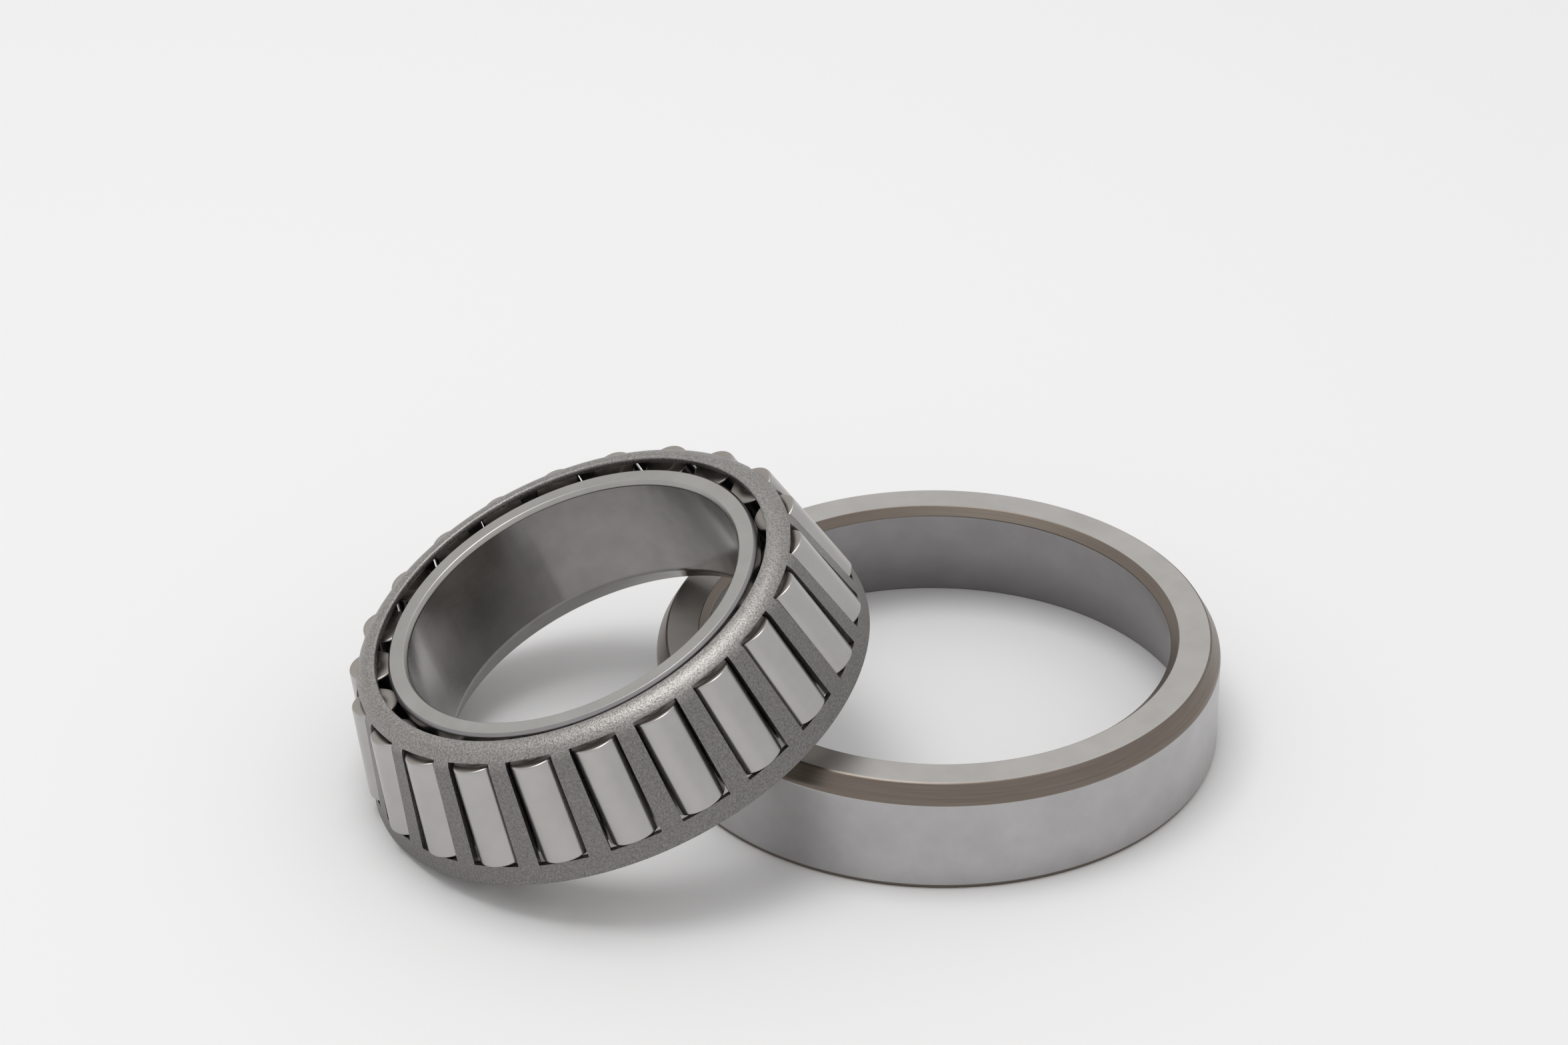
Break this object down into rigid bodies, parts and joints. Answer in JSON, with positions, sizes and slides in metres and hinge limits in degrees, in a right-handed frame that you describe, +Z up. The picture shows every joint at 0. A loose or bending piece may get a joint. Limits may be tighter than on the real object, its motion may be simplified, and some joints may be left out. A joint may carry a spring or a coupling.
{
  "type": "tapered roller bearing",
  "caption": "Separable tapered roller bearing: the cup lies flat and the cone assembly of inner ring, pressed cage and tapered rollers leans on its rim.",
  "frame": {"origin": "middle of the footprint of the whole set, on the surface that it lies on", "axes": "+Z up, along the cup's axis; +X from the cone assembly towards the cup; the cone assembly leans in the XZ plane"},
  "size_m": [0.1394, 0.09, 0.0468],
  "materials": {
    "cup_steel": "ground and hardened, chamfers left as turned",
    "cone_steel": "ground and hardened",
    "cage_steel": "pressed sheet, matt and finely blasted",
    "roller_steel": "ground and polished"
  },
  "bodies": {
    "cup": {"cup": "cup_steel"},
    "inner_ring": {"inner_ring": "cone_steel"},
    "cage": {"cage": "cage_steel"},
    "roller_01": {"roller_01": "roller_steel"},
    "roller_02": {"roller_02": "roller_steel"},
    "roller_03": {"roller_03": "roller_steel"},
    "roller_04": {"roller_04": "roller_steel"},
    "roller_05": {"roller_05": "roller_steel"},
    "roller_06": {"roller_06": "roller_steel"},
    "roller_07": {"roller_07": "roller_steel"},
    "roller_08": {"roller_08": "roller_steel"},
    "roller_09": {"roller_09": "roller_steel"},
    "roller_10": {"roller_10": "roller_steel"},
    "roller_11": {"roller_11": "roller_steel"},
    "roller_12": {"roller_12": "roller_steel"},
    "roller_13": {"roller_13": "roller_steel"},
    "roller_14": {"roller_14": "roller_steel"},
    "roller_15": {"roller_15": "roller_steel"},
    "roller_16": {"roller_16": "roller_steel"},
    "roller_17": {"roller_17": "roller_steel"},
    "roller_18": {"roller_18": "roller_steel"},
    "roller_19": {"roller_19": "roller_steel"},
    "roller_20": {"roller_20": "roller_steel"},
    "roller_21": {"roller_21": "roller_steel"},
    "roller_22": {"roller_22": "roller_steel"}
  },
  "joints": [
    {"name": "cone_lift", "type": "slide", "parent": "cup", "child": "inner_ring", "axis": [0, 0, 1], "range_m": [0, 0.06]},
    {"name": "cage_spin", "type": "hinge", "parent": "inner_ring", "child": "cage", "pos_m": [-0.02669, 0, 0.01266], "axis": [-0.3551, 0, 0.9348], "continuous": true},
    {"name": "roller_01_spin", "type": "hinge", "parent": "cage", "child": "roller_01", "pos_m": [0.00228, 0, 0.03758], "axis": [-0.55, 0, 0.8352], "continuous": true},
    {"name": "roller_02_spin", "type": "hinge", "parent": "cage", "child": "roller_02", "pos_m": [0.00092, 0.01012, 0.03706], "axis": [-0.5418, -0.0613, 0.8383], "continuous": true},
    {"name": "roller_03_spin", "type": "hinge", "parent": "cage", "child": "roller_03", "pos_m": [-0.00306, 0.01942, 0.03556], "axis": [-0.5177, -0.1176, 0.8474], "continuous": true},
    {"name": "roller_04_spin", "type": "hinge", "parent": "cage", "child": "roller_04", "pos_m": [-0.00932, 0.02715, 0.03318], "axis": [-0.4798, -0.1644, 0.8618], "continuous": true},
    {"name": "roller_05_spin", "type": "hinge", "parent": "cage", "child": "roller_05", "pos_m": [-0.01736, 0.03268, 0.03012], "axis": [-0.4311, -0.1979, 0.8803], "continuous": true},
    {"name": "roller_06_spin", "type": "hinge", "parent": "cage", "child": "roller_06", "pos_m": [-0.02653, 0.03556, 0.02664], "axis": [-0.3755, -0.2154, 0.9014], "continuous": true},
    {"name": "roller_07_spin", "type": "hinge", "parent": "cage", "child": "roller_07", "pos_m": [-0.03609, 0.03556, 0.02301], "axis": [-0.3177, -0.2154, 0.9234], "continuous": true},
    {"name": "roller_08_spin", "type": "hinge", "parent": "cage", "child": "roller_08", "pos_m": [-0.04526, 0.03268, 0.01953], "axis": [-0.2621, -0.1979, 0.9445], "continuous": true},
    {"name": "roller_09_spin", "type": "hinge", "parent": "cage", "child": "roller_09", "pos_m": [-0.0533, 0.02715, 0.01647], "axis": [-0.2134, -0.1644, 0.963], "continuous": true},
    {"name": "roller_10_spin", "type": "hinge", "parent": "cage", "child": "roller_10", "pos_m": [-0.05956, 0.01942, 0.01409], "axis": [-0.1755, -0.1176, 0.9774], "continuous": true},
    {"name": "roller_11_spin", "type": "hinge", "parent": "cage", "child": "roller_11", "pos_m": [-0.06353, 0.01012, 0.01258], "axis": [-0.1514, -0.0613, 0.9866], "continuous": true},
    {"name": "roller_12_spin", "type": "hinge", "parent": "cage", "child": "roller_12", "pos_m": [-0.06489, 0, 0.01207], "axis": [-0.1432, 0, 0.9897], "continuous": true},
    {"name": "roller_13_spin", "type": "hinge", "parent": "cage", "child": "roller_13", "pos_m": [-0.06353, -0.01012, 0.01258], "axis": [-0.1514, 0.0613, 0.9866], "continuous": true},
    {"name": "roller_14_spin", "type": "hinge", "parent": "cage", "child": "roller_14", "pos_m": [-0.05956, -0.01942, 0.01409], "axis": [-0.1755, 0.1176, 0.9774], "continuous": true},
    {"name": "roller_15_spin", "type": "hinge", "parent": "cage", "child": "roller_15", "pos_m": [-0.0533, -0.02715, 0.01647], "axis": [-0.2134, 0.1644, 0.963], "continuous": true},
    {"name": "roller_16_spin", "type": "hinge", "parent": "cage", "child": "roller_16", "pos_m": [-0.04526, -0.03268, 0.01953], "axis": [-0.2621, 0.1979, 0.9445], "continuous": true},
    {"name": "roller_17_spin", "type": "hinge", "parent": "cage", "child": "roller_17", "pos_m": [-0.03609, -0.03556, 0.02301], "axis": [-0.3177, 0.2154, 0.9234], "continuous": true},
    {"name": "roller_18_spin", "type": "hinge", "parent": "cage", "child": "roller_18", "pos_m": [-0.02653, -0.03556, 0.02664], "axis": [-0.3755, 0.2154, 0.9014], "continuous": true},
    {"name": "roller_19_spin", "type": "hinge", "parent": "cage", "child": "roller_19", "pos_m": [-0.01736, -0.03268, 0.03012], "axis": [-0.4311, 0.1979, 0.8803], "continuous": true},
    {"name": "roller_20_spin", "type": "hinge", "parent": "cage", "child": "roller_20", "pos_m": [-0.00932, -0.02715, 0.03318], "axis": [-0.4798, 0.1644, 0.8618], "continuous": true},
    {"name": "roller_21_spin", "type": "hinge", "parent": "cage", "child": "roller_21", "pos_m": [-0.00306, -0.01942, 0.03556], "axis": [-0.5177, 0.1176, 0.8474], "continuous": true},
    {"name": "roller_22_spin", "type": "hinge", "parent": "cage", "child": "roller_22", "pos_m": [0.00092, -0.01012, 0.03706], "axis": [-0.5418, 0.0613, 0.8383], "continuous": true}
  ],
  "couplings": [
    {"joint": "roller_01_spin", "follows": "cage_spin", "ratio": 7.9065},
    {"joint": "roller_02_spin", "follows": "cage_spin", "ratio": 7.9065},
    {"joint": "roller_03_spin", "follows": "cage_spin", "ratio": 7.9065},
    {"joint": "roller_04_spin", "follows": "cage_spin", "ratio": 7.9065},
    {"joint": "roller_05_spin", "follows": "cage_spin", "ratio": 7.9065},
    {"joint": "roller_06_spin", "follows": "cage_spin", "ratio": 7.9065},
    {"joint": "roller_07_spin", "follows": "cage_spin", "ratio": 7.9065},
    {"joint": "roller_08_spin", "follows": "cage_spin", "ratio": 7.9065},
    {"joint": "roller_09_spin", "follows": "cage_spin", "ratio": 7.9065},
    {"joint": "roller_10_spin", "follows": "cage_spin", "ratio": 7.9065},
    {"joint": "roller_11_spin", "follows": "cage_spin", "ratio": 7.9065},
    {"joint": "roller_12_spin", "follows": "cage_spin", "ratio": 7.9065},
    {"joint": "roller_13_spin", "follows": "cage_spin", "ratio": 7.9065},
    {"joint": "roller_14_spin", "follows": "cage_spin", "ratio": 7.9065},
    {"joint": "roller_15_spin", "follows": "cage_spin", "ratio": 7.9065},
    {"joint": "roller_16_spin", "follows": "cage_spin", "ratio": 7.9065},
    {"joint": "roller_17_spin", "follows": "cage_spin", "ratio": 7.9065},
    {"joint": "roller_18_spin", "follows": "cage_spin", "ratio": 7.9065},
    {"joint": "roller_19_spin", "follows": "cage_spin", "ratio": 7.9065},
    {"joint": "roller_20_spin", "follows": "cage_spin", "ratio": 7.9065},
    {"joint": "roller_21_spin", "follows": "cage_spin", "ratio": 7.9065},
    {"joint": "roller_22_spin", "follows": "cage_spin", "ratio": 7.9065}
  ]
}
